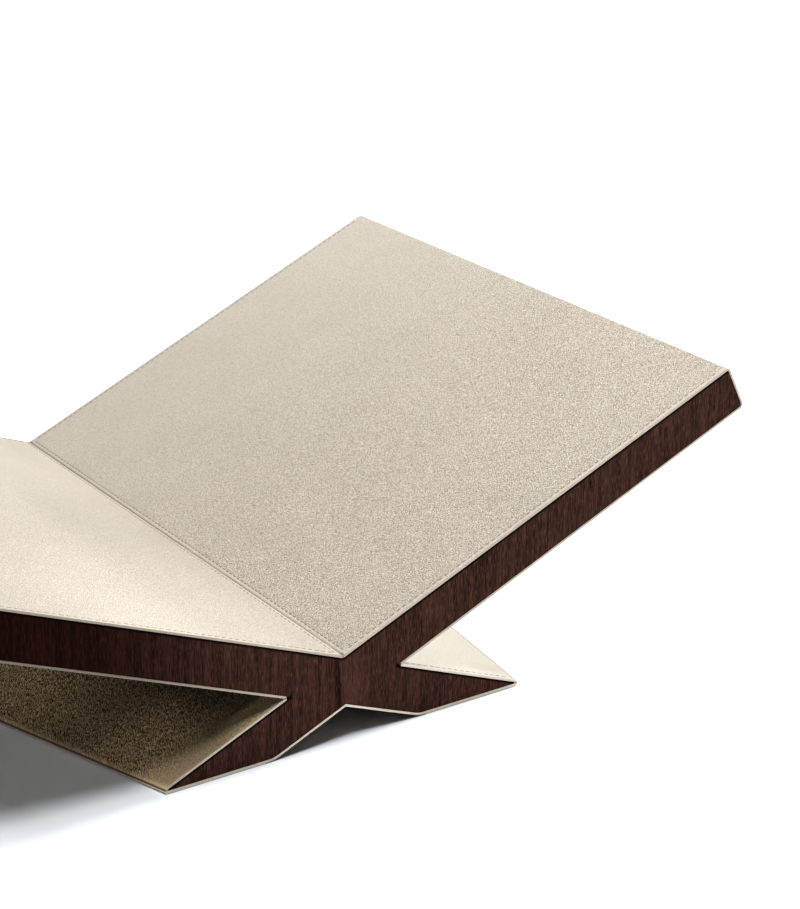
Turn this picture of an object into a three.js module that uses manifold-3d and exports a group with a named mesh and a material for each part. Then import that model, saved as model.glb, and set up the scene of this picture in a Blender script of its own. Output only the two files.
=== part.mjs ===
// Book stand: two crossing boards clad in leather, with facings of dark wood on both ends.
// The right wing and the left leg are one board that runs through the crossing. The left wing
// and the right leg are half boards, dowelled through it. Seen along the valley the stand is an
// X with a wide V on top. The feet are cut level while the valley climbs to the back, so the
// legs grow longer from front to back and the open book leans towards its reader.
// Sizes are in millimetres. In a section, x runs to the right and z up, square to the valley.

import * as THREE from 'three';
import { mergeVertices } from 'three/addons/utils/BufferGeometryUtils.js';
import Module from 'manifold-3d';

// Overall sizes
const board_thickness = 24;
const wing_length = 270; // from the valley to the wing's end, along the top face
const stand_depth = 394; // from front face to back face, along the valley
const valley_height = 46; // of the bare wood above the table, at the front face
const board_slope = THREE.MathUtils.degToRad(22.5); // rise of each wing, seen along the valley
const valley_tilt = THREE.MathUtils.degToRad(4.5); // climb of the valley towards the back

// Skins, and the thin layers and joints between pieces
const cover_leather = 1.2;
const sole_leather = 1.7;
const glue_line = 0.3;
const cover_joint = 0.3; // between two leather covers that meet
const facing_thickness = 3;
const facing_joint = 0.1; // hairline between the two halves of a facing

// Rounded corners of the wood
const wing_top_radius = 0.8;
const wing_bottom_radius = 1.6;
const notch_radius = 1.3;
const toe_radius = 0.5;
const heel_radius = 12;
const heel_lap = 2; // length of belly cover under the foot, past the rounded heel

// The joint between the two halves of a facing leans a little and passes left of the valley
const seam_top_shift = 1.8;
const seam_bottom_shift = 3.4;

// Dowels through the crossing
const dowel_radius = 5;
const dowel_grip = 30; // length held in each half board
const dowel_names = ['dowel_front', 'dowel_mid_front', 'dowel_mid_back', 'dowel_back'];
const dowel_place_shares = [0.14, 0.38, 0.62, 0.86]; // of the depth, in the order of their names
const dowel_sides = 24;

const arc_step = THREE.MathUtils.degToRad(11.25); // one facet of a rounded corner
const quarter_turn = Math.PI / 2;

// Values worked out from the sizes above
const slope_sin = Math.sin(board_slope);
const slope_cos = Math.cos(board_slope);
const slope_tan = Math.tan(board_slope);
const half_slope_tan = Math.tan(board_slope / 2);
const cover_outside = glue_line + cover_leather;
const sole_outside = glue_line + sole_leather;

const along_right_wing = new THREE.Vector2(slope_cos, slope_sin);
const off_right_wing = new THREE.Vector2(-slope_sin, slope_cos);
const along_right_leg = new THREE.Vector2(slope_cos, -slope_sin);
const off_right_leg = new THREE.Vector2(slope_sin, slope_cos);

// Angles of the outward directions of the faces, counted from the x axis
const facing_up_from_wing = quarter_turn + board_slope;
const facing_out_of_wing = board_slope;
const facing_down_from_wing = board_slope - quarter_turn;
const facing_up_from_leg = quarter_turn - board_slope;
const facing_belly = -quarter_turn - board_slope;

// Corners of the right half of the wood, before they are rounded
const valley = new THREE.Vector2(0, 0);
const wing_top = along_right_wing.clone().multiplyScalar(wing_length);
const wing_bottom = shifted(wing_top, off_right_wing, -board_thickness);
const notch = new THREE.Vector2(board_thickness / (2 * slope_sin), -board_thickness / (2 * slope_cos));
const belly = new THREE.Vector2(0, -board_thickness / slope_cos);

// Height in the section of the wood's level underside, at a place along the valley
function underside(y) {
  return sole_outside - valley_height / Math.cos(valley_tilt) - y * Math.tan(valley_tilt);
}

// The toe is a wedge as sharp as the board's slope, so its round sits well back from the point
function toeCentre(y) {
  const level = underside(y);
  return new THREE.Vector2(-level / slope_tan - toe_radius / half_slope_tan, level + toe_radius);
}

function heelCorner(y) {
  const level = underside(y);
  return new THREE.Vector2(-level / slope_tan - board_thickness / slope_sin, level);
}

function heelCentre(y) {
  const corner = heelCorner(y);
  return new THREE.Vector2(corner.x + heel_radius * half_slope_tan, corner.y + heel_radius);
}

// Small drawing helpers
function shifted(point, direction, distance) {
  return point.clone().addScaledVector(direction, distance);
}

function arc(centre, radius, from, to) {
  const steps = Math.max(1, Math.round(Math.abs(to - from) / arc_step));
  const points = [];
  for (let i = 0; i <= steps; i += 1) {
    const angle = from + ((to - from) * i) / steps;
    points.push(new THREE.Vector2(centre.x + radius * Math.cos(angle), centre.y + radius * Math.sin(angle)));
  }
  return points;
}

function mirrored(points) {
  return points.map((point) => new THREE.Vector2(-point.x, point.y)).reverse();
}

// Edges of the right half, each at a distance outside the wood, in clockwise order

function wingEndEdge(distance) {
  const top_centre = shifted(shifted(wing_top, along_right_wing, -wing_top_radius), off_right_wing, -wing_top_radius);
  const bottom_centre = shifted(
    shifted(wing_bottom, along_right_wing, -wing_bottom_radius), off_right_wing, wing_bottom_radius);
  return [
    ...arc(top_centre, wing_top_radius + distance, facing_up_from_wing, facing_out_of_wing),
    ...arc(bottom_centre, wing_bottom_radius + distance, facing_out_of_wing, facing_down_from_wing),
  ];
}

function notchEdge() {
  const centre = new THREE.Vector2(notch.x + notch_radius / slope_sin, notch.y);
  return arc(centre, notch_radius, quarter_turn + board_slope, 3 * quarter_turn - board_slope);
}

function toeUpperEdge(distance, y) {
  return arc(toeCentre(y), toe_radius + distance, facing_up_from_leg, 0);
}

function toeLowerEdge(distance, y) {
  return arc(toeCentre(y), toe_radius + distance, 0, -quarter_turn);
}

function heelEdge(distance, y) {
  return arc(heelCentre(y), heel_radius + distance, -quarter_turn, facing_belly);
}

// A cover ends on the middle line of a hollow corner, clear of the next cover
function endOnMiddleLine(distance, half_angle) {
  return distance / Math.tan(half_angle) + cover_joint / 2 / Math.sin(half_angle);
}

function notchStop(distance) {
  return Math.max(endOnMiddleLine(distance, board_slope), notch_radius / slope_tan);
}

// The two edges of a skin, joined into one closed outline
function skinOutline(edgeAt, outside) {
  return [...edgeAt(outside), ...edgeAt(glue_line).reverse()];
}

// From the valley over the wing's end and back below it to the notch
function wingCoverSection() {
  return skinOutline((distance) => [
    shifted(shifted(valley, off_right_wing, distance), along_right_wing,
      endOnMiddleLine(distance, quarter_turn - board_slope)),
    ...wingEndEdge(distance),
    shifted(shifted(notch, off_right_wing, -distance), along_right_wing, notchStop(distance)),
  ], cover_outside);
}

// From the notch down the leg and round the upper half of the toe
function legCoverSection(y) {
  return skinOutline((distance) => [
    shifted(shifted(notch, off_right_leg, distance), along_right_leg, notchStop(distance)),
    ...toeUpperEdge(distance, y),
  ], cover_outside);
}

// Round the lower half of the toe and under the foot, up to the belly cover
function soleSection(y) {
  const stop = heelCentre(y).x + heel_lap + cover_joint;
  const edge = (distance) => [
    ...toeLowerEdge(distance, y),
    new THREE.Vector2(stop, underside(y) - distance),
  ];
  const outline = skinOutline(edge, sole_outside);
  // The upper end of the sole, where the outline starts and ends, stays clear of the leg cover
  for (const point of [outline[0], outline[outline.length - 1]]) point.y -= cover_joint;
  return outline;
}

// From under one foot, round its heel, over the belly fold and down to the other foot
function bellyCoverSection(y) {
  return skinOutline((distance) => {
    const right = [
      new THREE.Vector2(heelCentre(y).x + heel_lap, underside(y) - distance),
      ...heelEdge(distance, y),
    ];
    const fold = new THREE.Vector2(belly.x, belly.y - distance / slope_cos);
    return [...right, fold, ...mirrored(right)];
  }, cover_outside);
}

function footEdge(y) {
  return [...toeUpperEdge(0, y), ...toeLowerEdge(0, y).slice(1), ...heelEdge(0, y)];
}

// The right wing and the left leg in one board
function throughBoardSection(y) {
  return [...wingEndEdge(0), ...mirrored(footEdge(y))];
}

function leftWingBoardSection() {
  const upper = new THREE.Vector2(-glue_line / (2 * slope_sin), glue_line / (2 * slope_cos));
  const lower = new THREE.Vector2(
    -(board_thickness + glue_line) / (2 * slope_sin), (glue_line - board_thickness) / (2 * slope_cos));
  return [upper, lower, ...mirrored(wingEndEdge(0))];
}

function rightLegBoardSection(y) {
  const upper = new THREE.Vector2(
    (board_thickness + glue_line) / (2 * slope_sin), -(board_thickness + glue_line) / (2 * slope_cos));
  const lower = new THREE.Vector2(
    glue_line / (2 * slope_sin), -(2 * board_thickness + glue_line) / (2 * slope_cos));
  return [upper, ...footEdge(y), lower];
}

const seam_top = new THREE.Vector2(-seam_top_shift, seam_top_shift * slope_tan);
const seam_bottom = new THREE.Vector2(-seam_bottom_shift, belly.y - seam_bottom_shift * slope_tan);

function rightFacingSection(y) {
  return [seam_top, valley, ...wingEndEdge(0), ...notchEdge(), ...footEdge(y), belly, seam_bottom];
}

function leftFacingSection(y) {
  const joint = new THREE.Vector2(-facing_joint, facing_joint * slope_tan);
  const top = seam_top.clone().add(joint);
  const bottom = new THREE.Vector2(seam_bottom.x - facing_joint, seam_bottom.y - facing_joint * slope_tan);
  return [...mirrored([...wingEndEdge(0), ...notchEdge(), ...footEdge(y)]), top, bottom];
}

// Stretches a section from y0 to y1 along the valley. The section may change on the way, so
// the far points are set from the front section and the near ones from the back section.
function stretch(sectionAt, y0, y1) {
  const front = sectionAt(y0);
  const back = sectionAt(y1);
  const depth = y1 - y0;
  const geometry = new THREE.ExtrudeGeometry(new THREE.Shape(back), { depth, bevelEnabled: false });
  const position = geometry.attributes.position;
  for (let i = 0; i < position.count; i += 1) {
    const found = back.findIndex((point) => sameSpot(point, position.getX(i), position.getY(i)));
    const at_front = position.getZ(i) > depth / 2;
    const point = at_front ? front[found] : back[found];
    position.setXYZ(i, point.x, at_front ? y0 : y1, point.y);
  }
  return geometry;
}

// Vertices are kept in 32-bit numbers, so they match a section's point only to that accuracy
function sameSpot(point, x, y) {
  return Math.fround(point.x) === x && Math.fround(point.y) === y;
}

// Cutting with closed meshes
const wasm = await Module();
wasm.setup();

function toManifold(geometry) {
  const bare = new THREE.BufferGeometry();
  bare.setAttribute('position', geometry.attributes.position);
  if (geometry.index) bare.setIndex(geometry.index);
  const merged = mergeVertices(bare);
  const mesh = new wasm.Mesh({
    numProp: 3,
    vertProperties: new Float32Array(merged.attributes.position.array),
    triVerts: new Uint32Array(merged.index.array),
  });
  return new wasm.Manifold(mesh);
}

function toGeometry(solid) {
  const mesh = solid.getMesh();
  const geometry = new THREE.BufferGeometry();
  geometry.setAttribute('position', new THREE.BufferAttribute(mesh.vertProperties, mesh.numProp));
  geometry.setIndex(new THREE.BufferAttribute(mesh.triVerts, 1));
  const flat = geometry.toNonIndexed();
  flat.computeVertexNormals();
  return flat;
}

// A dowel lies in the middle of the half boards and passes through the through board
const crossing_length = board_thickness / Math.sin(2 * board_slope);
const dowel_length = crossing_length + 2 * dowel_grip;
const dowel_turn = new THREE.Quaternion().setFromUnitVectors(
  new THREE.Vector3(0, 1, 0), new THREE.Vector3(-slope_cos, 0, slope_sin));

function dowelGeometry(clearance) {
  const radius = dowel_radius + clearance;
  return new THREE.CylinderGeometry(radius, radius, dowel_length + 2 * clearance, dowel_sides);
}

function dowelPlace(share) {
  return new THREE.Vector3(0, share * stand_depth, belly.y / 2);
}

function drilled(board) {
  let solid = toManifold(board);
  for (const share of dowel_place_shares) {
    const drill = dowelGeometry(glue_line).applyQuaternion(dowel_turn);
    const place = dowelPlace(share);
    drill.translate(place.x, place.y, place.z);
    solid = solid.subtract(toManifold(drill));
  }
  return toGeometry(solid);
}

// Finishes
const dark_wood = { color: 0x3a2621, roughness: 0.42, metalness: 0 };
const core_wood = { color: 0xb2966b, roughness: 0.8, metalness: 0 };
const dowel_wood = { color: 0xcaa574, roughness: 0.7, metalness: 0 };
const cream_leather = { color: 0xe3d9c7, roughness: 0.6, metalness: 0 };
const sand_leather = { color: 0xc9b9a0, roughness: 0.7, metalness: 0 };

const group = new THREE.Group();
const turned = new THREE.Group();
group.add(turned);

function addPiece(name, geometry, finish) {
  const mesh = new THREE.Mesh(geometry, new THREE.MeshStandardMaterial(finish));
  mesh.name = name;
  turned.add(mesh);
  return mesh;
}

function onTheLeft(sectionAt) {
  return (y) => mirrored(sectionAt(y));
}

// Core boards, held back from the end faces by the facings
const core_front = facing_thickness + glue_line;
const core_back = stand_depth - core_front;
addPiece('through_board', drilled(stretch(throughBoardSection, core_front, core_back)), core_wood);
addPiece('left_wing_board', drilled(stretch(leftWingBoardSection, core_front, core_back)), core_wood);
addPiece('right_leg_board', drilled(stretch(rightLegBoardSection, core_front, core_back)), core_wood);

// Dowels
dowel_names.forEach((name, index) => {
  const dowel = addPiece(name, dowelGeometry(0), dowel_wood);
  dowel.quaternion.copy(dowel_turn);
  dowel.position.copy(dowelPlace(dowel_place_shares[index]));
});

// Facings
const facing_back = stand_depth - facing_thickness;
addPiece('front_facing_right', stretch(rightFacingSection, 0, facing_thickness), dark_wood);
addPiece('front_facing_left', stretch(leftFacingSection, 0, facing_thickness), dark_wood);
addPiece('back_facing_right', stretch(rightFacingSection, facing_back, stand_depth), dark_wood);
addPiece('back_facing_left', stretch(leftFacingSection, facing_back, stand_depth), dark_wood);

// Leather
addPiece('wing_cover_right', stretch(wingCoverSection, 0, stand_depth), cream_leather);
addPiece('wing_cover_left', stretch(onTheLeft(wingCoverSection), 0, stand_depth), cream_leather);
addPiece('leg_cover_right', stretch(legCoverSection, 0, stand_depth), cream_leather);
addPiece('leg_cover_left', stretch(onTheLeft(legCoverSection), 0, stand_depth), cream_leather);
addPiece('belly_cover', stretch(bellyCoverSection, 0, stand_depth), cream_leather);
addPiece('sole_right', stretch(soleSection, 0, stand_depth), sand_leather);
addPiece('sole_left', stretch(onTheLeft(soleSection), 0, stand_depth), sand_leather);

// The valley climbs to the back, the soles rest on the table, and the middle of the depth is
// the origin
turned.rotation.x = valley_tilt;
turned.position.z = valley_height;
group.updateMatrixWorld(true);
const reach = new THREE.Box3().setFromObject(group, true);
turned.position.y = -(reach.min.y + reach.max.y) / 2;

export default group;
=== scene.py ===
import math

import bmesh
import bpy
from bpy.props import FloatProperty, FloatVectorProperty, PointerProperty
from mathutils import Euler, Matrix, Vector


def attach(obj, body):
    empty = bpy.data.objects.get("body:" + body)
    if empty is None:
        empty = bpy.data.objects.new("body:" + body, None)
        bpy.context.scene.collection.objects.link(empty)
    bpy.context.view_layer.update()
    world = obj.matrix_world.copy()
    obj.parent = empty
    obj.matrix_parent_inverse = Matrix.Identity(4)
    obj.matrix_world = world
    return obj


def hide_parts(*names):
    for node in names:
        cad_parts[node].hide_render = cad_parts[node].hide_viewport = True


bl_info = {
    "name": "Book stand finish",
    "version": (1, 0, 0),
    "blender": (4, 5, 0),
    "location": "3D View > Sidebar > Book stand",
    "description": "Leather, stitching and dark wood for a crossed book stand, and the stage it stands on",
    "category": "Object",
}

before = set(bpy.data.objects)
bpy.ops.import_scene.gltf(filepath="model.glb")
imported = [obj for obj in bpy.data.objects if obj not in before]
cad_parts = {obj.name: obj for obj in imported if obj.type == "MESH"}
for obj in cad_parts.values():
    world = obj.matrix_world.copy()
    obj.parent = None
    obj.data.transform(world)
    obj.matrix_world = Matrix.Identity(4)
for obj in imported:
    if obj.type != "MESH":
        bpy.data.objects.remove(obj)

MM = 0.001
FRONT_FACINGS = ("front_facing_right", "front_facing_left")
BACK_FACINGS = ("back_facing_right", "back_facing_left")
CORE_BOARDS = ("through_board", "left_wing_board", "right_leg_board")
DOWELS = ("dowel_front", "dowel_mid_front", "dowel_mid_back", "dowel_back")
SIDES = (("right", 1), ("left", -1))
ALONG = Vector((0, 1, 0))
TOUCHING = 0.01 * MM  # corners nearer than this count as one place
MERGED = 0.001 * MM  # corners nearer than this become one
FLAT_ANGLE = math.radians(0.3)  # faces that meet at a smaller angle become one
SAME_WAY = 0.9995  # least cosine between a face and the direction it looks in
GROOVE_CUTS = (-0.8, -0.5, 0, 0.5, 0.8)  # where a groove is cut, in shares of its width

# The notch where wing and leg meet, seen along the valley: how far out the wood's corner lies and how
# much leather covers it (both in millimetres), how far it lies below the valley, where the leather's
# ends are found, and how far its last corner turns.
NOTCH_ACROSS_MM = 31.36
NOTCH_COVER_MM = 1.3
NOTCH_DROP = 12.99 * MM
NOTCH_ENDS = (30 * MM, 36 * MM)
NOTCH_TURN = math.radians(8)

STREAK_LEAN = math.radians(-4)
SHARP_ANGLE = math.radians(38)

# Painted light and shade over the leather: slow changes of its colour that stand in for how the light falls.
# Each is a smooth step: from one distance in metres to another, and the factor before and after it.
RIGHT_WING_PAINTED_LIGHT = (0.06, 0.37, 1.17, 0.90)
RIGHT_END_PAINTED_SHADE = -0.45
LEFT_WING_PAINTED_LIGHT = (0.02, 0.22, 1.01, 0.83)
LEFT_VALLEY_PAINTED_LIGHT = (0.005, 0.075, 1.26, 1.0)
LEFT_OUTER_PAINTED_SHADE = (0.08, 0.19, 1.0, 0.77)
# The right leg: a little paler overall, with painted shade in the front corner of the toe.
RIGHT_LEG_PAINTED_LIGHT = 1.05
RIGHT_TOE_PAINTED_SHADE = (0.085, 0.105, 0.0, -0.16)
RIGHT_TOE_FRONT = (0.010, 0.028, 1.0, 0.0)
# The left leg: painted light and shade along it, and painted shade inside the notch, where the wing shades it.
LEFT_LEG_RIM = (0.006, 0.030, 0.46, 1.2)
LEFT_LEG_BAND = (0.045, 0.085, 1.0, 0.7)
LEFT_LEG_BACK = (0.09, 0.17, 1.0, 1.5)
LEFT_NOTCH_FRONT = (0.060, 0.080, 1.4, 1.0)
LEFT_NOTCH_BEHIND = (0.053, 0.086, 0.38, 1.0)
LEFT_NOTCH_CHANGE = (0.011, 0.018)
LEFT_RIM_CHANGE = (-0.14, -0.01, 1.0, 0.0)

# How strong the grain is, at two distances from the front.
WING_WEAR = (0.1, 0.4, 1.0, 0.4)
RIGHT_LEG_WEAR = (0.1, 0.4, 0.6, 0.6)
LEFT_LEG_WEAR = (0.004, 0.035, 0.4, 1.0)

# How far the painted highlight line, the burnt edge of the leg leather and that of the sole reach from their joint.
TOE_HIGHLIGHT_REACH = 2.6 * MM
BURNT_REACH = 0.9 * MM
SOLE_BURNT_REACH = 0.7 * MM

# The grain of the leather: how closely its pebbles wander and how far, and its finest grain.
WANDER_SCALE = 420.0
WANDER_REACH = 0.0022
FINE_SCALE = 2600.0

# Streaks of the facings (width, length and seed, in millimetres), and where their wood changes: smooth
# steps across the stand and below the top of the wings. The steps away from the rims give a dark glue line,
# widened into a painted contact shadow.
WOOD_STREAKS = ((3.2, 60, 3.0), (0.9, 11, 7.0), (0.36, 4.5, 11.0))
WOOD_JOINT = (-2.55 * MM, -2.45 * MM)
RED_BAND = (2.0 * MM, 16.0 * MM, 1.0, 0.0)
DARK_BAND = (-7.5 * MM, -3.0 * MM)
DARK_END = (-155 * MM, -35 * MM, 1.0, 0.0)
WING_WOOD = (24 * MM, 30 * MM, 1.0, 0.0)
UPPER_RIM_SHADOW = (0.5 * MM, 1.6 * MM, 1.0, 0.0)
OTHER_RIMS_SHADOW = (0.1 * MM, 0.9 * MM, 1.0, 0.0)

# Where the stitch rows of wings and legs begin and end, seen from the leather's edges, and how near the
# end face those edges are looked for.
WING_ROW_SPARE = 3 * MM
LEG_ROW_START = 2 * MM
LEG_ROW_SPARE = 4 * MM
NEAR_END = 6 * MM

SENSOR_WIDTH = 36
VIEW_REACH = 100

# Colours that come from another by a fixed share, and those of fibres and stain.
DEEPER = 0.7
RIM_FIBRE = (0.1, 0.08, 0.06)
SOLE_FIBRE = (0.3, 0.23, 0.16)
LEFT_END_STAIN = (0.36, 0.24, 0.18)

# Material slots of a leather piece.
GRAIN_SLOT, RIM_SLOT, LINE_SLOT = 0, 1, 2


# Sizes, colours and finishes that a user would change.


def length_property(name, description, millimetres):
    """A length that a user can change."""
    return FloatProperty(
        name=name, description=description, default=millimetres * MM, unit="LENGTH", subtype="DISTANCE")


def angle_property(name, description, degrees):
    """An angle that a user can change."""
    return FloatProperty(name=name, description=description, default=math.radians(degrees), subtype="ANGLE")


def power_property(name, description, watts):
    """The power of a light, which a user can change."""
    return FloatProperty(name=name, description=description, default=watts, min=0, unit="POWER")


def color_property(name, description, color):
    """A colour that a user can change."""
    return FloatVectorProperty(
        name=name, description=description, default=color, size=3, min=0, max=1, subtype="COLOR")


class StandShape(bpy.types.PropertyGroup):
    valley_tilt: angle_property("Valley tilt", "Climb of the valley from front to back", 4.5)
    board_slope: angle_property("Board slope", "Slope of both boards, seen along the valley", 22.5)
    valley_height: length_property("Valley height", "Bare wood of the valley above the table, at the front", 46)
    notch_radius: length_property("Notch radius", "Inside of the leather where wing and leg meet", 0.55)
    board_thickness: length_property("Board thickness", "Thickness of both boards", 24)
    wing_length: length_property("Wing length", "From the valley to the end of a wing, up its slope", 270)
    glue_line: length_property("Glue line", "How much of the gap between leather and wood the leather fills", 0.27)
    rim_softness: length_property("Rim softness", "Rounding of the cut leather rims at the end faces", 0.2)
    groove_depth: length_property("Groove depth", "How deep the leather is pressed along its stitches", 0.18)
    groove_width: length_property("Groove width", "Width of the pressed groove", 1.6)
    toe_line_width: length_property("Toe line width", "Width of the line scored along each toe", 0.6)
    toe_line_depth: length_property("Toe line depth", "Depth of the line scored along each toe", 0.12)


class StandStitches(bpy.types.PropertyGroup):
    pitch_across: length_property("Pitch across", "Stitch spacing along the front and back rows", 4.05)
    pitch_along: length_property("Pitch along", "Stitch spacing along the valley", 4.2)
    stitch_length: length_property("Stitch length", "Visible length of one stitch", 2.9)
    thread_width: length_property("Thread width", "Thickness of the waxed thread", 0.75)
    end_row_inset: length_property("End row inset", "From the end face to the row of stitches beside it", 3.0)
    valley_row_inset: length_property(
        "Valley row inset", "From the middle of the valley to the row of stitches beside it", 3.4)
    thread_color: color_property("Thread", "Colour of the thread", (0.27, 0.21, 0.15))


class StandLeather(bpy.types.PropertyGroup):
    color: color_property("Leather", "Colour of the raised grain", (0.487, 0.447, 0.391))
    # The creases are partly the leather's own darker colour and partly painted shade in the hollows of the grain.
    crease_color: color_property("Creases", "Colour at the bottom of the grain", (0.205, 0.178, 0.143))
    # The right leg's leather is a lit copy: its pale creases are painted light.
    pale_color: color_property("Pale leather", "Colour of the raised grain on the right leg", (0.475, 0.452, 0.403))
    pale_painted_light_crease_color: color_property(
        "Pale creases", "Colour at the bottom of the grain on the right leg", (0.385, 0.362, 0.318))
    # The left leg's leather is a shaded copy: its golden grain and near-black creases are painted shade and painted
    # warm bounce light.
    deep_painted_shade_color: color_property(
        "Deep grain leather", "Colour of the raised grain on the left leg", (0.92, 0.745, 0.50))
    deep_painted_shade_crease_color: color_property(
        "Deep creases", "Colour at the bottom of the grain on the left leg", (0.08, 0.04, 0.013))
    wing_rim_color: color_property(
        "Wing rim", "Colour of the sealed cut rims of the right wing", (0.54, 0.47, 0.385))
    leg_rim_color: color_property("Leg rim", "Colour of the cut rims on the legs and the belly", (0.74, 0.67, 0.575))
    left_rim_color: color_property("Left rim", "Colour of the cut rim on top of the left wing", (0.42, 0.365, 0.295))
    left_leg_rim_color: color_property("Left leg rim", "Colour of the cut rim on the left leg", (0.56, 0.50, 0.42))
    # Painted shade: the rim under the left wing is darkened for the shade it lies in.
    lower_rim_shade_color: color_property("Lower rim", "Colour of the cut rim under the left wing", (0.24, 0.20, 0.155))
    # On the right toe this colour is painted shade where the toe rounds over; at the soles it is the dark joint.
    joint_and_toe_shade_color: color_property(
        "Burnished leather", "Colour of the line on the right toe and of the edges at the soles", (0.24, 0.18, 0.125))
    sole_color: color_property("Sole", "Colour of the sole leather", (0.74, 0.675, 0.57))
    grain_size: length_property("Grain size", "Width of one pebble of the grain", 0.55)
    grain_depth: length_property("Grain depth", "Height of the pebbles", 0.2)
    deep_grain_size: length_property("Deep grain size", "Width of one pebble of the grain on the left leg", 0.36)
    deep_grain_stretch: FloatProperty(
        name="Deep grain stretch", description="How many times longer than wide the pebbles on the left leg are",
        default=4.5, min=1)
    deep_grain_angle: angle_property(
        "Deep grain angle", "Direction of the long pebbles, turned from straight back", -30)
    deep_grain_depth: length_property("Deep grain depth", "Height of the pebbles on the left leg", 0.5)


class StandWood(bpy.types.PropertyGroup):
    dark_color: color_property("Dark wood", "Dark bands of the facings", (0.033, 0.0165, 0.0118))
    red_color: color_property("Red wood", "Reddish streaks of the facings", (0.108, 0.054, 0.039))
    pale_color: color_property("Pale streaks", "Paler streaks along the grain", (0.16, 0.088, 0.065))
    # The rim beside the leather takes this colour as a dark glue line widened into painted contact shadow.
    pore_color: color_property("Pores", "Open pores, and the rim beside the leather", (0.008, 0.0026, 0.0016))
    core_color: color_property("Core wood", "Plain boards under the leather", (0.42, 0.27, 0.15))
    dowel_color: color_property("Dowel wood", "Beech of the dowels", (0.52, 0.34, 0.19))


class StandStage(bpy.types.PropertyGroup):
    floor_color: color_property("Floor", "Colour of the pale floor", (0.88, 0.91, 0.95))
    floor_size: length_property("Floor size", "Side of the square floor", 4000)
    camera_place: FloatVectorProperty(
        name="Camera place", description="Where the camera stands",
        default=(-0.6188791, -1.3559622, 0.5530835), size=3, unit="LENGTH", subtype="XYZ")
    camera_azimuth: angle_property("Camera azimuth", "Turn of the view away from straight on", -29.7307)
    camera_elevation: angle_property("Camera elevation", "How far the view looks down", 16.9286)
    camera_roll: angle_property("Camera roll", "Lean of the picture", -4.9295)
    lens: FloatProperty(
        name="Lens", description="Focal length of the camera in millimetres, on a 36 mm sensor",
        default=107.93, min=1)
    room_strength: FloatProperty(
        name="Room light", description="Strength of the even light of the room", default=0.01, min=0)
    side_power: power_property("Side light", "Power of the low soft light from the right", 145)
    back_power: power_property("Back light", "Power of the soft light from behind", 18)
    top_power: power_property("Top light", "Power of the high soft light on the left", 25)
    rake_power: power_property("Raking light", "Power of the small low light from the left", 10)
    near_power: power_property("Near light", "Power of the small near light on the right", 8)
    front_power: power_property("Front light", "Power of the high soft light in front", 41)


# Where things are on the stand. Section coordinates run across the stand, along the valley
# from its front end, and square up from the valley.


def section_to_stand():
    """The matrix that takes section coordinates to the stand's own."""
    shape = bpy.context.scene.stand_shape
    turn = Matrix.Rotation(shape.valley_tilt, 4, "X")
    along = turn @ ALONG
    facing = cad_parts["front_facing_right"].data
    front = min(along.dot(vertex.co) for vertex in facing.vertices)
    valley_front = (front - shape.valley_height * along.z) / along.y
    return Matrix.Translation((0, valley_front, shape.valley_height)) @ turn


def stand_depth():
    """Length of the stand along the valley."""
    inverse = section_to_stand().inverted()
    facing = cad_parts["back_facing_right"].data
    return max((inverse @ vertex.co).y for vertex in facing.vertices)


def slope_directions(side, up):
    """Down-slope and outward directions of a face on one side: up is 1 for a wing, -1 for a leg."""
    slope = bpy.context.scene.stand_shape.board_slope
    run = Vector((side * math.cos(slope), 0, up * math.sin(slope)))
    outward = Vector((-up * side * math.sin(slope), 0, math.cos(slope)))
    return run, outward


def leg_middle(side):
    """A point inside the wood of a leg, seen along the valley."""
    shape = bpy.context.scene.stand_shape
    across = 75 * MM  # between the notch and the toe at every depth
    top = -across * math.tan(shape.board_slope)
    return Vector((side * across, 0, (top - shape.valley_height) / 2))


def cad_copy(name):
    """A merged copy of a CAD node's mesh, in section coordinates, with its flat faces whole."""
    mesh = bmesh.new()
    mesh.from_mesh(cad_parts[name].data)
    bmesh.ops.remove_doubles(mesh, verts=mesh.verts, dist=MERGED)
    bmesh.ops.dissolve_limit(mesh, angle_limit=FLAT_ANGLE, verts=mesh.verts, edges=mesh.edges)
    bmesh.ops.transform(mesh, matrix=section_to_stand().inverted(), verts=mesh.verts)
    mesh.normal_update()
    return mesh


def flat_faces(mesh, outward, level):
    """The faces that look outward and lie at least that far out."""
    return [face for face in mesh.faces
            if face.normal.dot(outward) > SAME_WAY and face.calc_center_median().dot(outward) > level]


def with_edges(faces):
    """Those faces with their edges and corners, as bisect_plane takes them."""
    parts = dict.fromkeys(faces)
    for face in faces:
        parts.update(dict.fromkeys(face.edges))
        parts.update(dict.fromkeys(face.verts))
    return list(parts)


def cut_grooves(mesh, outward, level, grooves, width):
    """Cuts the outer face along the middle of each groove, both its sides, and a line outside each. A groove
    is a point on it, the direction across it, and a test that says how far it runs."""
    for point, across, _ in grooves:
        for share in GROOVE_CUTS:
            bmesh.ops.bisect_plane(
                mesh, geom=with_edges(flat_faces(mesh, outward, level)), dist=MERGED,
                plane_co=point + across * (share * width), plane_no=across)


def press_grooves(mesh, outward, level, grooves, depth):
    """Lowers the middle line of each groove, each corner once."""
    low = dict.fromkeys(
        vertex for vertex in mesh.verts for point, across, runs in grooves
        if vertex.co.dot(outward) > level and abs((vertex.co - point).dot(across)) < TOUCHING and runs(vertex.co))
    bmesh.ops.translate(mesh, verts=list(low), vec=-outward * depth)


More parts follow.
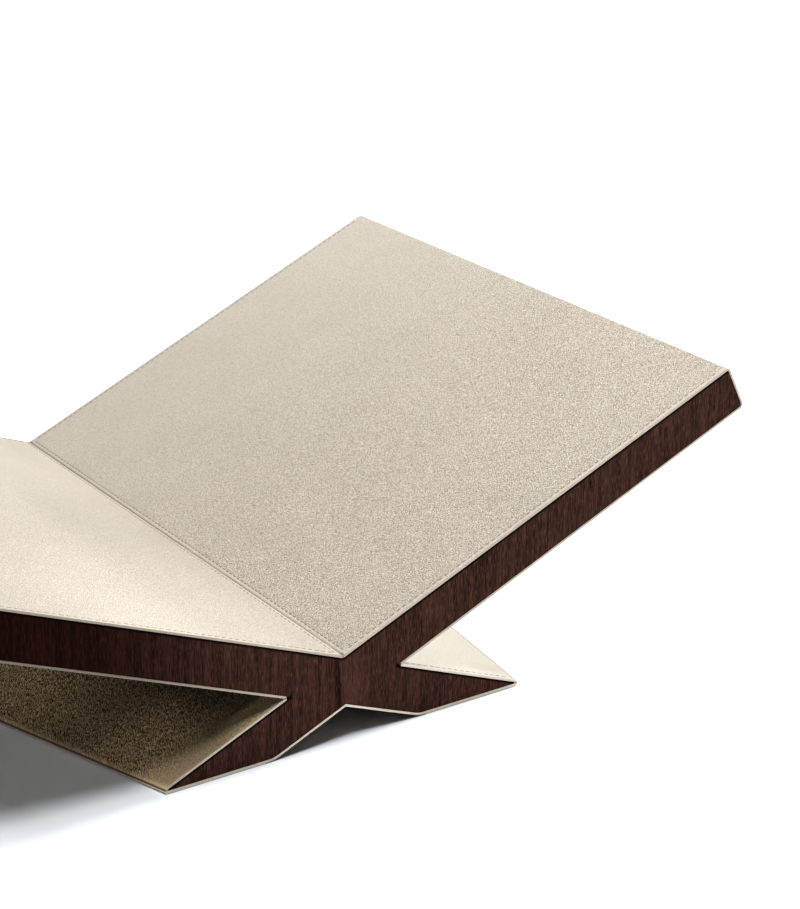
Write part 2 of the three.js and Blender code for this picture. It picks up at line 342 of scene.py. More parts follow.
def close_notch(mesh, side):
    """Takes the leather's end at the notch on to a full mitre, round the inside of the notch."""
    shape = bpy.context.scene.stand_shape
    ends = [face for face in mesh.faces
            if len(face.verts) == 4 and abs(face.normal.y) < 0.01
            and all(NOTCH_ENDS[0] < side * corner.co.x < NOTCH_ENDS[1] for corner in face.verts)]
    short = list(dict.fromkeys(
        edge for face in ends for edge in face.edges if abs(edge.verts[0].co.y - edge.verts[1].co.y) < MM))
    cut = bmesh.ops.subdivide_edges(mesh, edges=short, cuts=2)
    fresh = [part for part in cut["geom_inner"] if isinstance(part, bmesh.types.BMVert)]
    tip = side * (NOTCH_ACROSS_MM + NOTCH_COVER_MM / math.sin(shape.board_slope)) * MM
    for vertex in fresh:
        inner = min((edge.other_vert(vertex) for edge in vertex.link_edges
                     if abs(edge.other_vert(vertex).co.y - vertex.co.y) < MM),
                    key=lambda corner: side * corner.co.x)
        angle = NOTCH_TURN
        if inner not in fresh:
            angle = math.atan2(abs(inner.co.z + NOTCH_DROP), abs(inner.co.x - tip)) / 2
        up = 1 if vertex.co.z > -NOTCH_DROP else -1
        vertex.co.x = tip - side * shape.notch_radius * math.cos(angle)
        vertex.co.z = -NOTCH_DROP + up * shape.notch_radius * math.sin(angle)
    mesh.normal_update()


def bed_on_wood(mesh, middle):
    """Thickens the leather inwards until it lies on the wood, whose middle line passes through that point.
    Each inner corner moves square to the inner faces that meet there."""
    shape = bpy.context.scene.stand_shape
    moves = {}
    for face in mesh.faces:
        towards = Vector((middle.x, face.calc_center_median().y, middle.z)) - face.calc_center_median()
        if abs(face.normal.y) < 0.5 and face.normal.dot(towards) > 0.5 * MM and len(face.verts) == 4:
            for corner in face.verts:
                moves.setdefault(corner, []).append(face.normal.copy())
    for corner, normals in moves.items():
        mean = sum(normals, Vector()).normalized()
        bmesh.ops.translate(mesh, verts=[corner], vec=mean * (shape.glue_line / max(0.3, mean.dot(normals[0]))))
    mesh.normal_update()


def soften_rims(mesh, depth):
    """Rounds the rims of the cut ends."""
    shape = bpy.context.scene.stand_shape
    rims = [edge for edge in mesh.edges
            if all(vertex.co.y < TOUCHING for vertex in edge.verts)
            or all(vertex.co.y > depth - TOUCHING for vertex in edge.verts)]
    bmesh.ops.bevel(
        mesh, geom=rims, offset=shape.rim_softness, offset_type="OFFSET", affect="EDGES",
        segments=2, profile=0.5, material=-1, clamp_overlap=False)
    mesh.normal_update()


def rim_or_grain(face):
    """The slot of a leather face: the rim at the cut ends, the grain elsewhere."""
    return RIM_SLOT if abs(face.normal.y) > 0.5 else GRAIN_SLOT


def sort_parts(mesh):
    """Puts corners and faces in an order that is the same in every run."""
    ranks = {vertex: rank for rank, vertex in enumerate(sorted(mesh.verts, key=lambda vertex: vertex.co[:]))}
    faces = sorted(mesh.faces, key=lambda face: sorted(ranks[vertex] for vertex in face.verts))
    places = {face: rank for rank, face in enumerate(faces)}
    mesh.verts.sort(key=ranks.get)
    mesh.faces.sort(key=places.get)


def new_object(mesh, name, materials):
    """Puts a finished mesh in the scene, at the origin."""
    data = bpy.data.meshes.new(name)
    mesh.to_mesh(data)
    mesh.free()
    for material in materials:
        data.materials.append(material)
    piece = bpy.data.objects.new(name, data)
    bpy.context.scene.collection.objects.link(piece)
    return piece


def smooth_piece(mesh, name, materials):
    """Puts a mesh in section coordinates in its place on the stand, with smooth shading."""
    for face in mesh.faces:
        face.smooth = True
    bmesh.ops.transform(mesh, matrix=section_to_stand(), verts=mesh.verts)
    return new_object(mesh, name, materials)


def finished_piece(mesh, name, materials, pick_material, node):
    """Puts a leather piece in the scene in place of its CAD node."""
    for face in mesh.faces:
        face.material_index = pick_material(face)
    piece = smooth_piece(mesh, name, materials)
    piece.data.set_sharp_from_angle(angle=SHARP_ANGLE)
    even = piece.modifiers.new("Even shading", "WEIGHTED_NORMAL")
    even.keep_sharp = True
    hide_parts(node)
    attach(piece, "root")


# Materials. Groups give only masks and values; each shader stays in its own material.


def feed(tree, node, values):
    """Links each input of a node, or sets it where its value is a plain number or colour."""
    for label, value in dict(values).items():
        if isinstance(value, bpy.types.NodeSocket):
            tree.links.new(value, node.inputs[label])
        else:
            node.inputs[label].default_value = value


def add_node(tree, kind, values=(), **settings):
    """A node with its settings and the values of its inputs."""
    node = tree.nodes.new(kind)
    for name, value in settings.items():
        setattr(node, name, value)
    feed(tree, node, values)
    return node


def maths(tree, operation, *values, kind="ShaderNodeMath"):
    """One step of arithmetic."""
    return add_node(tree, kind, enumerate(values), operation=operation).outputs[0]


def times(tree, *values):
    """All the values multiplied."""
    product = values[0]
    for value in values[1:]:
        product = maths(tree, "MULTIPLY", product, value)
    return product


def solid(color, share=1.0):
    """A colour as a socket takes it, or that share of it."""
    return (*(share * channel for channel in color), 1.0)


def ramp(tree, value, low, high, bottom=0.0, top=1.0):
    """A smooth step of the value between low and high."""
    values = {"Value": value, "From Min": low, "From Max": high, "To Min": bottom, "To Max": top}
    return add_node(tree, "ShaderNodeMapRange", values, interpolation_type="SMOOTHSTEP").outputs["Result"]


def blend(tree, share, first, second, kind="MIX"):
    """Mixes two colours."""
    values = {"Factor": share, "A": first, "B": second}
    return add_node(tree, "ShaderNodeMix", values, data_type="RGBA", blend_type=kind).outputs["Result"]


def noise(tree, vector, scale, detail, roughness=0.5, output="Fac"):
    """A noise texture's value, or its colour."""
    values = {"Vector": vector, "Scale": scale, "Detail": detail, "Roughness": roughness}
    return add_node(tree, "ShaderNodeTexNoise", values).outputs[output]


def parts_of(tree, vector):
    """The X, Y and Z of a vector."""
    return add_node(tree, "ShaderNodeSeparateXYZ", {"Vector": vector}).outputs


def vector_of(tree, *parts):
    """A vector from its X, Y and Z."""
    return add_node(tree, "ShaderNodeCombineXYZ", enumerate(parts)).outputs[0]


def new_group(name, inputs, outputs):
    """A node group with named sockets, and the outputs of its first node. Its end node is added last."""
    tree = bpy.data.node_groups.new(name, "ShaderNodeTree")
    for label, value in inputs:
        socket = tree.interface.new_socket(name=label, in_out="INPUT", socket_type="NodeSocketFloat")
        socket.default_value = value
    for label in outputs:
        tree.interface.new_socket(name=label, in_out="OUTPUT", socket_type="NodeSocketFloat")
    return tree, add_node(tree, "NodeGroupInput").outputs


def use_group(tree, name, **values):
    """A group placed in a material, with its own values."""
    values = {label.replace("_", " "): value for label, value in values.items()}
    return add_node(tree, "ShaderNodeGroup", values, node_tree=bpy.data.node_groups[name])


def turned_coordinates(tree):
    """Object coordinates turned into section coordinates."""
    inverse = section_to_stand().inverted()
    spot = add_node(tree, "ShaderNodeTexCoord").outputs["Object"]
    values = {"Vector": spot, "Location": inverse.to_translation(), "Rotation": inverse.to_euler()}
    return add_node(tree, "ShaderNodeMapping", values).outputs["Vector"]


def make_place_group():
    """How far a point is from the valley along the slope, from the nearer end face, and from the front one,
    and where it lies across the stand."""
    slope = bpy.context.scene.stand_shape.board_slope
    tree, _ = new_group("Place on the stand", (), ("From Valley", "From End", "From Front", "Across"))
    spot = parts_of(tree, turned_coordinates(tree))
    across = times(tree, maths(tree, "ABSOLUTE", spot["X"]), math.cos(slope))
    height = times(tree, maths(tree, "ABSOLUTE", spot["Z"]), math.sin(slope))
    back = maths(tree, "SUBTRACT", stand_depth(), spot["Y"])
    add_node(tree, "NodeGroupOutput", {
        "From Valley": maths(tree, "ADD", across, height), "From End": maths(tree, "MINIMUM", spot["Y"], back),
        "From Front": spot["Y"], "Across": spot["X"]})


def make_grain_group():
    """Leather grain of wandering ridges and small pebbles, which can be stretched and turned: its height, and
    its creases as a mask."""
    tree, start = new_group(
        "Leather grain", (("Grain Size", 0.0016), ("Stretch", 1.0), ("Angle", 0.0)), ("Height", "Crease"))
    lay = {
        "Vector": turned_coordinates(tree), "Rotation": vector_of(tree, 0.0, 0.0, start["Angle"]),
        "Scale": vector_of(tree, 1.0, start["Stretch"], start["Stretch"])}
    place = add_node(tree, "ShaderNodeMapping", lay, vector_type="TEXTURE").outputs[0]
    wander = noise(tree, place, WANDER_SCALE, 1.0, output="Color")
    centred = maths(tree, "SUBTRACT", wander, [0.5] * 3, kind="ShaderNodeVectorMath")
    shifted = maths(tree, "MULTIPLY_ADD", centred, [WANDER_REACH] * 3, place, kind="ShaderNodeVectorMath")
    scale = maths(tree, "DIVIDE", 1.0, start["Grain Size"])
    cells = add_node(tree, "ShaderNodeTexVoronoi", {"Vector": shifted, "Scale": scale}, feature="DISTANCE_TO_EDGE")
    pebble = ramp(tree, cells.outputs["Distance"], 0.0, 0.28)
    ridge = ramp(tree, noise(tree, shifted, scale, 0.0), 0.36, 0.64)
    fine = noise(tree, place, FINE_SCALE, 2.0)
    raised = maths(tree, "MULTIPLY_ADD", ridge, 0.75, times(tree, pebble, 0.25))
    add_node(tree, "NodeGroupOutput", {
        "Height": maths(tree, "MULTIPLY_ADD", fine, 0.16, raised), "Crease": maths(tree, "SUBTRACT", 1.0, raised)})


def make_streak_group():
    """Long thin streaks that run up the end faces, leaning a little."""
    tree, start = new_group(
        "Wood streaks", (("Streak Width", 0.0006), ("Streak Length", 0.03), ("Seed", 0.0)), ("Streak",))
    lean = {"Vector": turned_coordinates(tree), "Rotation": Euler((0, STREAK_LEAN, 0))}
    spot = parts_of(tree, add_node(tree, "ShaderNodeMapping", lean).outputs[0])
    width = start["Streak Width"]
    upward = maths(tree, "DIVIDE", spot["Z"], start["Streak Length"])
    joined = vector_of(
        tree, maths(tree, "DIVIDE", spot["X"], width), maths(tree, "DIVIDE", spot["Y"], width),
        maths(tree, "ADD", upward, start["Seed"]))
    add_node(tree, "NodeGroupOutput", {"Streak": noise(tree, joined, 1.0, 2.0, 0.55)})


def make_margin_group():
    """How near a point of the end faces is to the wood's rim: its upper rims, and its other rims, and how
    far below the top of the wings it lies."""
    shape = bpy.context.scene.stand_shape
    tree, _ = new_group("Wood margin", (), ("Upper Rim", "Other Rims", "Below Wing"))
    spot = parts_of(tree, turned_coordinates(tree))
    across = maths(tree, "ABSOLUTE", spot["X"])
    rise = times(tree, across, math.sin(shape.board_slope))
    fall = times(tree, spot["Z"], math.cos(shape.board_slope))
    below_wing = maths(tree, "SUBTRACT", rise, fall)
    below_leg = maths(tree, "SUBTRACT", times(tree, rise, -1.0), fall)
    notch = shape.board_thickness / math.sin(shape.board_slope) / 2
    inside = maths(tree, "LESS_THAN", across, notch)
    leg_top = maths(tree, "ADD", maths(tree, "ABSOLUTE", below_leg), inside)
    above_bottom = maths(tree, "SUBTRACT", shape.board_thickness, below_wing)
    wing_bottom = maths(tree, "ADD", maths(tree, "ABSOLUTE", above_bottom), inside)
    belly = maths(tree, "SUBTRACT", shape.board_thickness, below_leg)
    upper = maths(tree, "MINIMUM", maths(tree, "ABSOLUTE", below_wing), leg_top)
    lower_rims = maths(tree, "MINIMUM", wing_bottom, belly)
    add_node(tree, "NodeGroupOutput", {
        "Upper Rim": ramp(tree, upper, *UPPER_RIM_SHADOW), "Other Rims": ramp(tree, lower_rims, *OTHER_RIMS_SHADOW),
        "Below Wing": below_wing})


def new_material(name):
    """A material with its Principled shader."""
    material = bpy.data.materials.new(name)
    material.use_nodes = True
    return material, material.node_tree, material.node_tree.nodes["Principled BSDF"]


def dress(tree, shader, color, roughness, height, depth, specular=0.3):
    """Gives a shader its colour, roughness and specular level, and bump from a height, that many metres deep."""
    bump = add_node(tree, "ShaderNodeBump", {"Strength": 1.0, "Distance": depth, "Height": height})
    feed(tree, shader, {
        "Base Color": color, "Roughness": roughness, "Specular IOR Level": specular, "Normal": bump.outputs["Normal"]})


def grain_leather(name, color, crease_color, size, depth, worn, tone, left_share=1.0, stretch=1.0, angle=0.0):
    """Pebbled leather; the strips outside the stitches are pressed smoother and a little darker, and it is
    burnt dark where it meets the sole, with a painted highlight line above. Worn says how strong the grain is at
    two distances from the front, left_share how strong it is on the left, and tone adds painted light and shade."""
    stitches = bpy.context.scene.stand_stitches
    material, tree, shader = new_material(name)
    place = use_group(tree, "Place on the stand")
    texture = use_group(tree, "Leather grain", Grain_Size=size, Stretch=stretch, Angle=angle)
    inside_rows = [
        ramp(tree, place.outputs[label], inset - 0.6 * MM, inset + 1.2 * MM)
        for label, inset in (("From End", stitches.end_row_inset), ("From Valley", stitches.valley_row_inset))]
    field = times(tree, *inside_rows)
    cloud = noise(tree, turned_coordinates(tree), 22.0, 3.0)
    on_side = ramp(tree, place.outputs["Across"], -1 * MM, 1 * MM, left_share, 1.0)
    worked = times(
        tree, ramp(tree, place.outputs["From Front"], *worn), on_side, ramp(tree, field, 0.0, 1.0, 0.6, 1.0))
    # The creases take the crease colour: partly the leather's own, partly painted shade in the grain's hollows.
    creased = times(tree, texture.outputs["Crease"], worked)
    mixed = blend(tree, creased, solid(color), solid(crease_color))
    # The grey factor: the pressed strips a little darker, a faint random cloud, and the painted light and shade of
    # tone.
    shade = times(
        tree, ramp(tree, field, 0.0, 1.0, 0.94, 1.0), ramp(tree, cloud, 0.3, 0.7, 0.985, 1.015), tone(tree, place))
    grey = add_node(tree, "ShaderNodeCombineColor", enumerate([shade] * 3))
    mixed = blend(tree, 1.0, mixed, grey.outputs[0], "MULTIPLY")
    # Painted highlight: a paler line just above the sole's joint, where the toe rounds over.
    mixed = blend(tree, times(tree, near_joint(tree, TOE_HIGHLIGHT_REACH), 0.5), mixed, solid(color))
    burnished = solid(bpy.context.scene.stand_leather.joint_and_toe_shade_color)
    mixed = blend(tree, near_joint(tree, BURNT_REACH), mixed, burnished)
    roughness = ramp(tree, creased, 0.0, 1.0, 0.52, 0.7)
    dress(tree, shader, mixed, roughness, times(tree, texture.outputs["Height"], worked), depth)
    return material


def wing_painted_light(tree, place):
    """Painted light and shade over each wing: paler towards the front, on the left also paler beside the
    valley and darker outside, and painted shade on the right wing's outer end, which faces the side light."""
    wing = bpy.context.scene.stand_shape.wing_length
    front, away = place.outputs["From Front"], place.outputs["From Valley"]
    below = use_group(tree, "Wood margin").outputs["Below Wing"]
    # Painted shade on the outer end of the right wing, which the side light strikes square on.
    end = times(tree, ramp(tree, below, 1 * MM, 4 * MM), maths(tree, "GREATER_THAN", away, wing))
    right = maths(tree, "MULTIPLY_ADD", end, RIGHT_END_PAINTED_SHADE, ramp(tree, front, *RIGHT_WING_PAINTED_LIGHT))
    left = times(
        tree, ramp(tree, front, *LEFT_WING_PAINTED_LIGHT),
        times(tree, ramp(tree, away, *LEFT_VALLEY_PAINTED_LIGHT), ramp(tree, away, *LEFT_OUTER_PAINTED_SHADE)))
    on_right = maths(tree, "GREATER_THAN", place.outputs["Across"], 0.0)
    on_left = maths(tree, "SUBTRACT", 1.0, on_right)
    return maths(tree, "ADD", times(tree, on_right, right), times(tree, on_left, left))


def right_leg_painted_light(tree, place):
    """Painted shade: darker in the front corner of the toe, where the side light falls straight on it."""
    toe = ramp(tree, place.outputs["From Valley"], *RIGHT_TOE_PAINTED_SHADE)
    corner = times(tree, toe, ramp(tree, place.outputs["From Front"], *RIGHT_TOE_FRONT))
    return maths(tree, "ADD", corner, RIGHT_LEG_PAINTED_LIGHT)


def left_leg_painted_light(tree, place):
    """Painted light and shade along the left leg: dark at the front rim, where the faint grain would leave it
    palest, then paler, darker and paler again towards the back, and painted shade in the notch under the wing."""
    front, away = place.outputs["From Front"], place.outputs["From Valley"]
    along = times(tree, *(ramp(tree, front, *step) for step in (LEFT_LEG_RIM, LEFT_LEG_BAND, LEFT_LEG_BACK)))
    near = ramp(tree, away, *LEFT_NOTCH_FRONT)
    far = ramp(tree, away, *LEFT_NOTCH_BEHIND)
    deeper = times(tree, ramp(tree, front, *LEFT_NOTCH_CHANGE), maths(tree, "SUBTRACT", far, near))
    return times(tree, along, maths(tree, "ADD", near, deeper))


def rim_leather(name, right, left, left_shaded_below):
    """A sealed cut rim: fine fibres, smoother than the face, in other colours far left and under that wing,
    where the darker colour is painted shade.
    """
    shape = bpy.context.scene.stand_shape
    material, tree, shader = new_material(name)
    fibre = noise(tree, turned_coordinates(tree), 1500.0, 3.0)
    below = use_group(tree, "Wood margin").outputs["Below Wing"]
    # Painted shade on the rim under the wing.
    lower = ramp(tree, below, 0.5 * shape.board_thickness, 0.6 * shape.board_thickness)
    on_left = ramp(tree, use_group(tree, "Place on the stand").outputs["Across"], *LEFT_RIM_CHANGE)
    color = blend(tree, on_left, solid(right), blend(tree, lower, solid(left), solid(left_shaded_below)))
    color = blend(tree, ramp(tree, fibre, 0.35, 0.7, 0.0, 0.2), color, solid(RIM_FIBRE))
    dress(tree, shader, color, 0.55, fibre, 0.05 * MM)
    return material


def above_table(tree):
    """Height above the table."""
    return parts_of(tree, add_node(tree, "ShaderNodeTexCoord").outputs["Object"])["Z"]


def near_joint(tree, reach):
    """How near a point is to the joint between leg leather and sole, which lies level round the toe."""
    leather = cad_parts["leg_cover_left"].data
    joint = min(vertex.co.z for vertex in leather.vertices)
    away = maths(tree, "ABSOLUTE", maths(tree, "SUBTRACT", above_table(tree), joint))
    return ramp(tree, away, 0.3 * reach, reach, 1.0, 0.0)


def scored_line_shade_leather(name):
    """Dark leather in the line scored along the right toe: painted shade where the toe rounds over."""
    leather = bpy.context.scene.stand_leather
    material, tree, shader = new_material(name)
    fibre = noise(tree, turned_coordinates(tree), 1200.0, 2.0)
    color = blend(tree, fibre, solid(leather.joint_and_toe_shade_color), solid(leather.joint_and_toe_shade_color, DEEPER))
    dress(tree, shader, color, 0.5, fibre, 0.04 * MM)
    return material


def sole_leather(name):
    """Thick sole leather, burnt dark at its joint, with painted shade darker towards the table."""
    leather = bpy.context.scene.stand_leather
    material, tree, shader = new_material(name)
    bottom_shade = ramp(tree, above_table(tree), 0.2 * MM, 1.0 * MM, 1.0, 0.0)
    fibre = noise(tree, turned_coordinates(tree), 900.0, 3.0)
    color = blend(tree, bottom_shade, solid(leather.sole_color), solid(leather.sole_color, DEEPER))
    color = blend(tree, ramp(tree, fibre, 0.3, 0.7, 0.0, 0.2), color, solid(SOLE_FIBRE))
    color = blend(tree, near_joint(tree, SOLE_BURNT_REACH), color, solid(leather.joint_and_toe_shade_color))
    dress(tree, shader, color, ramp(tree, fibre, 0.3, 0.7, 0.6, 0.75), fibre, 0.08 * MM)
    return material


def thread_finish(name):
    """Waxed thread with a fine twist."""
    stitches = bpy.context.scene.stand_stitches
    material, tree, shader = new_material(name)
    twist = noise(tree, turned_coordinates(tree), 3200.0, 1.0)
    color = blend(tree, twist, solid(stitches.thread_color), solid(stitches.thread_color, DEEPER))
    dress(tree, shader, color, 0.6, twist, 0.05 * MM, specular=0.5)
    return material


def facing_wood():
    """Dark open-pored wood, satin, with reddish streaks, a redder band right of the middle joint and a
    darker end on the left."""
    wood = bpy.context.scene.stand_wood
    material, tree, shader = new_material("dark_wood_facing")
    place = use_group(tree, "Place on the stand")
    margin = use_group(tree, "Wood margin")
    broad, middle, pores = (
        use_group(tree, "Wood streaks", Streak_Width=width * MM, Streak_Length=length * MM, Seed=seed).outputs["Streak"]
        for width, length, seed in WOOD_STREAKS)
    across = place.outputs["Across"]
    right = ramp(tree, across, *WOOD_JOINT)
    band = times(tree, right, ramp(tree, across, *RED_BAND))
    beside = times(tree, ramp(tree, across, *DARK_BAND), maths(tree, "SUBTRACT", 1.0, right))
    left_end = times(tree, ramp(tree, across, *DARK_END), ramp(tree, margin.outputs["Below Wing"], *WING_WOOD))
    narrow = times(tree, ramp(tree, middle, 0.4, 0.62), 0.5)
    red = maths(tree, "MULTIPLY_ADD", ramp(tree, broad, 0.36, 0.66), 0.5, narrow)
    red = maths(tree, "MINIMUM", maths(tree, "MULTIPLY_ADD", band, 0.3, red), 1.0)
    color = blend(tree, red, solid(wood.dark_color), solid(wood.red_color))
    color = blend(tree, ramp(tree, pores, 0.5, 0.72, 0.0, 0.85), color, solid(wood.pale_color))
    color = blend(tree, ramp(tree, pores, 0.48, 0.3, 0.0, 0.5), color, solid(wood.pore_color))
    color = blend(tree, left_end, color, blend(tree, 1.0, color, solid(LEFT_END_STAIN), "MULTIPLY"))
    # Painted contact shadow along the rims, over a dark glue line, strongest on the upper rims; with the dark band left
    # of the joint.
    other_rims = times(tree, margin.outputs["Other Rims"], 0.4)
    rim = maths(tree, "MULTIPLY_ADD", margin.outputs["Upper Rim"], 0.95, other_rims)
    darker = maths(tree, "MAXIMUM", times(tree, beside, 0.5), maths(tree, "MINIMUM", rim, 0.95))
    color = blend(tree, darker, color, solid(wood.pore_color))
    dress(tree, shader, color, ramp(tree, pores, 0.3, 0.7, 0.55, 0.42), pores, 0.06 * MM, specular=0.035)
    return material


def plain_wood(name, color, width):
    """Pale wood with a quiet grain, for the parts inside."""
    material, tree, shader = new_material(name)
    streak = use_group(
        tree, "Wood streaks", Streak_Width=width, Streak_Length=width * 30, Seed=5.0).outputs["Streak"]
    tone = blend(tree, ramp(tree, streak, 0.3, 0.7), solid(color), solid(color, 0.72))
    dress(tree, shader, tone, 0.65, streak, 0.08 * MM, specular=0.5)
    return material


def finishes():
    """What builds each finish of the leather and the thread, by its name."""
    leather = bpy.context.scene.stand_leather
    right_rim, left_rim = leather.leg_rim_color, leather.left_leg_rim_color
    return {
        "grained_leather": lambda name: grain_leather(
            name, leather.color, leather.crease_color, leather.grain_size, leather.grain_depth, WING_WEAR, wing_painted_light,
            left_share=0.7),
        # The legs take lit and shaded copies of one leather: painted light on the right leg, painted shade on the left,
        # whose grain is also deeper.
        "pale_painted_light_leather": lambda name: grain_leather(
            name, leather.pale_color, leather.pale_painted_light_crease_color, leather.grain_size, leather.grain_depth,
            RIGHT_LEG_WEAR, right_leg_painted_light),
        "deep_grained_painted_shade_leather": lambda name: grain_leather(
            name, leather.deep_painted_shade_color, leather.deep_painted_shade_crease_color, leather.deep_grain_size, leather.deep_grain_depth,
            LEFT_LEG_WEAR, left_leg_painted_light, stretch=leather.deep_grain_stretch, angle=leather.deep_grain_angle),
        "wing_leather_rim": lambda name: rim_leather(
            name, leather.wing_rim_color, leather.left_rim_color, leather.lower_rim_shade_color),
        "leg_leather_rim": lambda name: rim_leather(name, right_rim, right_rim, right_rim),
        "left_leg_leather_rim": lambda name: rim_leather(name, left_rim, left_rim, left_rim),
        "scored_line_shade_leather": scored_line_shade_leather,
        "sole_leather_finish": sole_leather,
        "waxed_thread": thread_finish,
    }


def shared_materials(*names):
    """The materials of a piece, in the order of its slots, each built the first time it is asked for."""
    return [bpy.data.materials.get(name) or finishes()[name](name) for name in names]


def finish_nodes(names, material):
    """Gives CAD nodes that stay their finish."""
    for name in names:
        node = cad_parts[name]
        if node.material_slots:
            for slot in node.material_slots:
                slot.material = material
        else:
            node.data.materials.append(material)


LEG_FINISHES = {
    "right": ("pale_painted_light_leather", "leg_leather_rim", "scored_line_shade_leather"),
    "left": ("deep_grained_painted_shade_leather", "left_leg_leather_rim"),
}


# Stitches.


def stitch_rows(name, rows):
    """One thread piece: rows of stitches, each lying in its groove and dipping at both ends."""
    stitches = bpy.context.scene.stand_stitches
    mesh = bmesh.new()
    size = Vector((0.6 * stitches.thread_width, stitches.thread_width, stitches.stitch_length)) / 2
    for start, run, outward, length, pitch in rows:
        count = int(length / pitch)
        turn = Matrix((outward, run.cross(outward), run)).transposed().to_4x4()
        spare_end = (length - (count - 1) * pitch) / 2
        place = Matrix.Translation(start + run * spare_end) @ turn @ Matrix.Diagonal((*size, 1))
        made = bmesh.ops.create_uvsphere(mesh, u_segments=8, v_segments=5, radius=1, matrix=place)
        first = with_edges(list(dict.fromkeys(face for vertex in made["verts"] for face in vertex.link_faces)))
        bmesh.ops.spin(
            mesh, geom=first, cent=(0, 0, 0), axis=run, dvec=run * pitch, angle=0, steps=count - 1, use_duplicate=True)
    bmesh.ops.recalc_face_normals(mesh, faces=mesh.faces)
    sort_parts(mesh)
    piece = smooth_piece(mesh, name, shared_materials("waxed_thread"))
    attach(piece, "root")


# Operators: one for each group of like pieces.


class STAND_OT_wing_leather(bpy.types.Operator):
    """Make the leather of both wings, with its grooves, soft rims and closed notch"""
    bl_idname = "stand.wing_leather"
    bl_label = "Wing leather"

    def execute(self, context):
        shape = context.scene.stand_shape
        stitches = context.scene.stand_stitches
        depth = stand_depth()
        inset, valley = stitches.end_row_inset, stitches.valley_row_inset
        level = 1 * MM  # between the wood's face and the outside of the leather
        for label, side in SIDES:
            mesh = cad_copy(f"wing_cover_{label}")
            run, outward = slope_directions(side, 1)
            close_notch(mesh, side)
            bed_on_wood(mesh, run * (shape.wing_length / 2) - outward * (shape.board_thickness / 2))

            def runs(spot, run=run):
                return spot.dot(run) > valley - TOUCHING and inset - TOUCHING < spot.y < depth - inset + TOUCHING

            grooves = [*((ALONG * place, ALONG, runs) for place in (inset, depth - inset)), (run * valley, run, runs)]
            cut_grooves(mesh, outward, level, grooves, shape.groove_width)
            press_grooves(mesh, outward, level, grooves, shape.groove_depth)
            soften_rims(mesh, depth)
            finished_piece(
                mesh, f"wing_leather_{label}", shared_materials("grained_leather", "wing_leather_rim"), rim_or_grain,
                f"wing_cover_{label}")
        return {"FINISHED"}


class STAND_OT_leg_leather(bpy.types.Operator):
    """Make the leather on the slopes of both legs, with the scored line along each toe"""
    bl_idname = "stand.leg_leather"
    bl_label = "Leg leather"

    def execute(self, context):
        shape = context.scene.stand_shape
        stitches = context.scene.stand_stitches
        depth = stand_depth()
        inset = stitches.end_row_inset
        for label, side in SIDES:
            mesh = cad_copy(f"leg_cover_{label}")
            run, outward = slope_directions(side, -1)
            close_notch(mesh, side)
            bed_on_wood(mesh, leg_middle(side))
            top = max(flat_faces(mesh, outward, -1), key=lambda face: face.calc_area())
            level = max(vertex.co.dot(outward) for vertex in top.verts) - 0.5 * MM
            toe = max(top.edges, key=lambda edge: sum(side * vertex.co.x for vertex in edge.verts))
            line = (toe.verts[1].co - toe.verts[0].co).normalized()
            over = outward.cross(line).normalized()
            if over.dot(run) < 0:
                over.negate()
            scored = toe.verts[0].co - over * (shape.toe_line_width / 2)

            def runs(spot, scored=scored, over=over):
                return (spot - scored).dot(over) < TOUCHING

            toe_line = [(scored, over, lambda spot: True)]
            cut_grooves(mesh, outward, level, toe_line, shape.toe_line_width)
            grooves = [(ALONG * place, ALONG, runs) for place in (inset, depth - inset)]
            cut_grooves(mesh, outward, level, grooves, shape.groove_width)
            press_grooves(mesh, outward, level, toe_line, shape.toe_line_depth)
            press_grooves(mesh, outward, level, grooves, shape.groove_depth)
            soften_rims(mesh, depth)
            materials = shared_materials(*LEG_FINISHES[label])

            def pick(face, scored=scored, over=over, lined=len(materials) > LINE_SLOT):
                past = (face.calc_center_median() - scored).dot(over)
                on_line = abs(face.normal.y) <= 0.5 and abs(past) < shape.toe_line_width / 2
                return LINE_SLOT if lined and on_line else rim_or_grain(face)

            finished_piece(mesh, f"leg_leather_{label}", materials, pick, f"leg_cover_{label}")
        return {"FINISHED"}


class STAND_OT_belly_leather(bpy.types.Operator):
    """Make the leather under the crossing"""
    bl_idname = "stand.belly_leather"
    bl_label = "Belly leather"

    def execute(self, context):
        mesh = cad_copy("belly_cover")
        bed_on_wood(mesh, Vector((0, 0, 1)))
        soften_rims(mesh, stand_depth())
        finished_piece(
            mesh, "belly_leather", shared_materials("grained_leather", "leg_leather_rim"), rim_or_grain,
            "belly_cover")
        return {"FINISHED"}


class STAND_OT_soles(bpy.types.Operator):
    """Make the soles under both feet"""
    bl_idname = "stand.soles"
    bl_label = "Soles"

    def execute(self, context):
        for label, side in SIDES:
            mesh = cad_copy(f"sole_{label}")
            bed_on_wood(mesh, leg_middle(side))
            soften_rims(mesh, stand_depth())
            finished_piece(
                mesh, f"sole_strip_{label}", shared_materials("sole_leather_finish"), lambda face: 0,
                f"sole_{label}")
        return {"FINISHED"}


